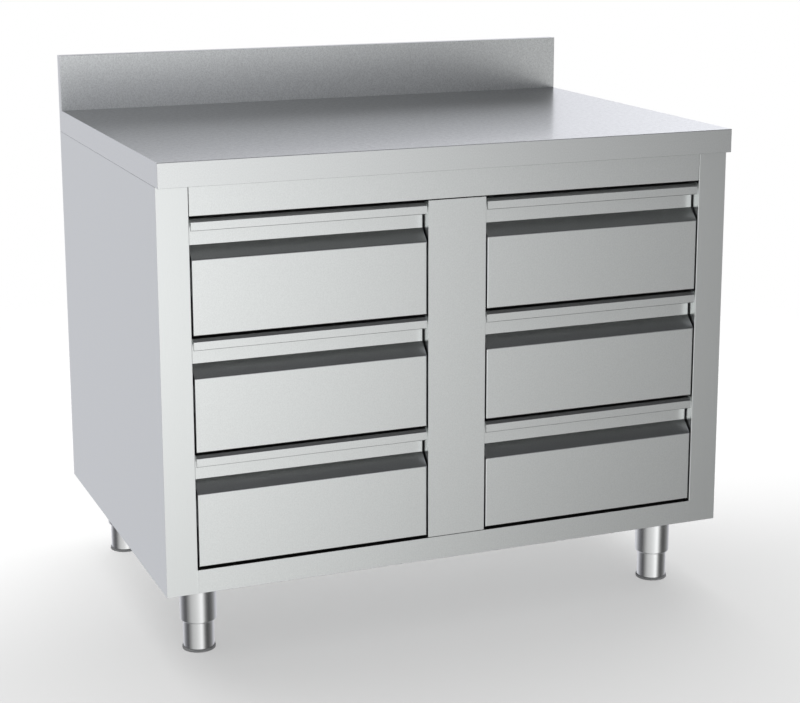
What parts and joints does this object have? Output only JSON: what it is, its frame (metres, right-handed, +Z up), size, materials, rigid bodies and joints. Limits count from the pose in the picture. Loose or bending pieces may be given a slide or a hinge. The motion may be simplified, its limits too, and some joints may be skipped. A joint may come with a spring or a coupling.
{
  "type": "work table with drawers",
  "caption": "Stainless-steel kitchen work table: a boxed worktop with a rear upstand over a cabinet of drawers with folded finger grips, on telescoping levelling legs.",
  "frame": {"origin": "on the floor under the middle of the table", "axes": "+Z up, +X to the right seen from the front, drawers open towards -Y"},
  "size_m": [1, 0.7, 0.928],
  "materials": {
    "worktop_steel": "brushed stainless sheet",
    "cabinet_steel": "satin stainless sheet",
    "inner_steel": "plain mill-finish sheet",
    "runner_steel": "bright zinc plate",
    "leg_steel": "polished stainless tube",
    "base_plastic": "dark moulded base",
    "core_board": "raw particle board"
  },
  "bodies": {
    "cabinet": {"worktop": "worktop_steel", "worktop_core": "core_board", "left_side_panel": "cabinet_steel", "right_side_panel": "cabinet_steel", "top_rail": "cabinet_steel", "centre_post": "cabinet_steel", "bottom_panel": "cabinet_steel", "back_panel": "cabinet_steel", "left_liner": "inner_steel", "left_partition": "inner_steel", "right_partition": "inner_steel", "right_liner": "inner_steel", "left_top_outer_runner_l": "runner_steel", "left_top_outer_runner_r": "runner_steel", "left_middle_outer_runner_l": "runner_steel", "left_middle_outer_runner_r": "runner_steel", "left_bottom_outer_runner_l": "runner_steel", "left_bottom_outer_runner_r": "runner_steel", "right_top_outer_runner_l": "runner_steel", "right_top_outer_runner_r": "runner_steel", "right_middle_outer_runner_l": "runner_steel", "right_middle_outer_runner_r": "runner_steel", "right_bottom_outer_runner_l": "runner_steel", "right_bottom_outer_runner_r": "runner_steel", "front_left_leg_sleeve": "leg_steel", "front_right_leg_sleeve": "leg_steel", "back_left_leg_sleeve": "leg_steel", "back_right_leg_sleeve": "leg_steel"},
    "left_top_drawer": {"left_top_drawer_front": "cabinet_steel", "left_top_drawer_box": "inner_steel"},
    "left_top_middle_runners": {"left_top_middle_runner_l": "runner_steel", "left_top_middle_runner_r": "runner_steel"},
    "left_middle_drawer": {"left_middle_drawer_front": "cabinet_steel", "left_middle_drawer_box": "inner_steel"},
    "left_middle_middle_runners": {"left_middle_middle_runner_l": "runner_steel", "left_middle_middle_runner_r": "runner_steel"},
    "left_bottom_drawer": {"left_bottom_drawer_front": "cabinet_steel", "left_bottom_drawer_box": "inner_steel"},
    "left_bottom_middle_runners": {"left_bottom_middle_runner_l": "runner_steel", "left_bottom_middle_runner_r": "runner_steel"},
    "right_top_drawer": {"right_top_drawer_front": "cabinet_steel", "right_top_drawer_box": "inner_steel"},
    "right_top_middle_runners": {"right_top_middle_runner_l": "runner_steel", "right_top_middle_runner_r": "runner_steel"},
    "right_middle_drawer": {"right_middle_drawer_front": "cabinet_steel", "right_middle_drawer_box": "inner_steel"},
    "right_middle_middle_runners": {"right_middle_middle_runner_l": "runner_steel", "right_middle_middle_runner_r": "runner_steel"},
    "right_bottom_drawer": {"right_bottom_drawer_front": "cabinet_steel", "right_bottom_drawer_box": "inner_steel"},
    "right_bottom_middle_runners": {"right_bottom_middle_runner_l": "runner_steel", "right_bottom_middle_runner_r": "runner_steel"},
    "front_left_levelling_foot": {"front_left_foot": "leg_steel", "front_left_foot_pad": "base_plastic"},
    "front_right_levelling_foot": {"front_right_foot": "leg_steel", "front_right_foot_pad": "base_plastic"},
    "back_left_levelling_foot": {"back_left_foot": "leg_steel", "back_left_foot_pad": "base_plastic"},
    "back_right_levelling_foot": {"back_right_foot": "leg_steel", "back_right_foot_pad": "base_plastic"}
  },
  "joints": [
    {"name": "left_top_drawer_slide", "type": "slide", "parent": "cabinet", "child": "left_top_drawer", "axis": [0, -1, 0], "range_m": [0, 0.55]},
    {"name": "left_top_runner_slide", "type": "slide", "parent": "cabinet", "child": "left_top_middle_runners", "axis": [0, -1, 0], "range_m": [0, 0.275]},
    {"name": "left_middle_drawer_slide", "type": "slide", "parent": "cabinet", "child": "left_middle_drawer", "axis": [0, -1, 0], "range_m": [0, 0.55]},
    {"name": "left_middle_runner_slide", "type": "slide", "parent": "cabinet", "child": "left_middle_middle_runners", "axis": [0, -1, 0], "range_m": [0, 0.275]},
    {"name": "left_bottom_drawer_slide", "type": "slide", "parent": "cabinet", "child": "left_bottom_drawer", "axis": [0, -1, 0], "range_m": [0, 0.55]},
    {"name": "left_bottom_runner_slide", "type": "slide", "parent": "cabinet", "child": "left_bottom_middle_runners", "axis": [0, -1, 0], "range_m": [0, 0.275]},
    {"name": "right_top_drawer_slide", "type": "slide", "parent": "cabinet", "child": "right_top_drawer", "axis": [0, -1, 0], "range_m": [0, 0.55]},
    {"name": "right_top_runner_slide", "type": "slide", "parent": "cabinet", "child": "right_top_middle_runners", "axis": [0, -1, 0], "range_m": [0, 0.275]},
    {"name": "right_middle_drawer_slide", "type": "slide", "parent": "cabinet", "child": "right_middle_drawer", "axis": [0, -1, 0], "range_m": [0, 0.55]},
    {"name": "right_middle_runner_slide", "type": "slide", "parent": "cabinet", "child": "right_middle_middle_runners", "axis": [0, -1, 0], "range_m": [0, 0.275]},
    {"name": "right_bottom_drawer_slide", "type": "slide", "parent": "cabinet", "child": "right_bottom_drawer", "axis": [0, -1, 0], "range_m": [0, 0.55]},
    {"name": "right_bottom_runner_slide", "type": "slide", "parent": "cabinet", "child": "right_bottom_middle_runners", "axis": [0, -1, 0], "range_m": [0, 0.275]},
    {"name": "front_left_foot_level", "type": "slide", "parent": "cabinet", "child": "front_left_levelling_foot", "axis": [0, 0, -1], "range_m": [-0.02, 0.03]},
    {"name": "front_right_foot_level", "type": "slide", "parent": "cabinet", "child": "front_right_levelling_foot", "axis": [0, 0, -1], "range_m": [-0.02, 0.03]},
    {"name": "back_left_foot_level", "type": "slide", "parent": "cabinet", "child": "back_left_levelling_foot", "axis": [0, 0, -1], "range_m": [-0.02, 0.03]},
    {"name": "back_right_foot_level", "type": "slide", "parent": "cabinet", "child": "back_right_levelling_foot", "axis": [0, 0, -1], "range_m": [-0.02, 0.03]}
  ],
  "couplings": [
    {"joint": "left_top_runner_slide", "follows": "left_top_drawer_slide", "ratio": 0.5},
    {"joint": "left_middle_runner_slide", "follows": "left_middle_drawer_slide", "ratio": 0.5},
    {"joint": "left_bottom_runner_slide", "follows": "left_bottom_drawer_slide", "ratio": 0.5},
    {"joint": "right_top_runner_slide", "follows": "right_top_drawer_slide", "ratio": 0.5},
    {"joint": "right_middle_runner_slide", "follows": "right_middle_drawer_slide", "ratio": 0.5},
    {"joint": "right_bottom_runner_slide", "follows": "right_bottom_drawer_slide", "ratio": 0.5}
  ]
}
